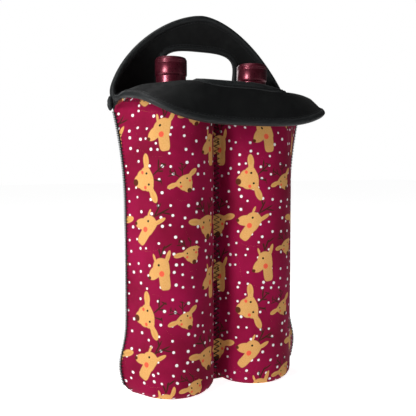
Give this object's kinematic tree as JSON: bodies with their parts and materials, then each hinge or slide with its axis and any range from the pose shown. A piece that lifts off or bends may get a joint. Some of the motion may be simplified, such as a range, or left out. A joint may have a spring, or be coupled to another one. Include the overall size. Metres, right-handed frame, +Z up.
{
  "type": "wine gift bag",
  "caption": "Neoprene carrier with side-by-side bottle pockets, a dotted seasonal print, and arched handle panels, the rear one upright and the front one folded forward.",
  "frame": {"origin": "middle of the flat base, on the surface the bag stands on", "axes": "+X along the pair of pockets, -Y the front, +Z up"},
  "size_m": [0.217, 0.1205, 0.372],
  "materials": {
    "printed_neoprene": "burgundy knit face with an all-over print, satin",
    "black_neoprene": "black knit-faced foam, soft sheen",
    "black_binding": "rolled knit tape, matt",
    "black_thread": "overlock yarn, matt",
    "bottle_glass": "dark green, polished",
    "wine": "dark red liquid",
    "cork": "natural cork",
    "foil_capsule": "burgundy metallic foil, satin",
    "paper_label": "uncoated, blank"
  },
  "bodies": {
    "bag": {"front_panel": "printed_neoprene", "rear_panel": "printed_neoprene", "front_collar": "black_neoprene", "rear_collar": "black_neoprene", "front_hole_hem": "black_binding", "rear_hole_hem": "black_binding", "left_corner_tab": "black_binding", "right_corner_tab": "black_binding", "centre_seam": "black_thread", "left_side_seam": "black_thread", "right_side_seam": "black_thread", "base_seam": "black_thread", "front_collar_seam": "black_thread", "rear_collar_seam": "black_thread"},
    "front_handle": {"front_grip": "black_neoprene", "front_grip_binding": "black_binding", "front_hole_binding": "black_binding"},
    "rear_handle": {"rear_grip": "black_neoprene", "rear_grip_binding": "black_binding", "rear_hole_binding": "black_binding"},
    "left_bottle": {"left_bottle": "bottle_glass", "left_wine": "wine", "left_cork": "cork", "left_capsule": "foil_capsule", "left_label": "paper_label"},
    "right_bottle": {"right_bottle": "bottle_glass", "right_wine": "wine", "right_cork": "cork", "right_capsule": "foil_capsule", "right_label": "paper_label"}
  },
  "joints": [
    {"name": "left_bottle_lift", "type": "slide", "parent": "bag", "child": "left_bottle", "axis": [0, 0, 1], "range_m": [0, 0.37]},
    {"name": "right_bottle_lift", "type": "slide", "parent": "bag", "child": "right_bottle", "axis": [0, 0, 1], "range_m": [0, 0.37]},
    {"name": "front_handle_fold", "type": "hinge", "parent": "bag", "child": "front_handle", "pos_m": [0, -0.05, 0.296], "axis": [-1, 0, 0], "range_deg": [0, 155]},
    {"name": "rear_handle_fold", "type": "hinge", "parent": "bag", "child": "rear_handle", "pos_m": [0, 0.042, 0.2865], "axis": [-1, 0, 0], "range_deg": [-20, 150]}
  ]
}
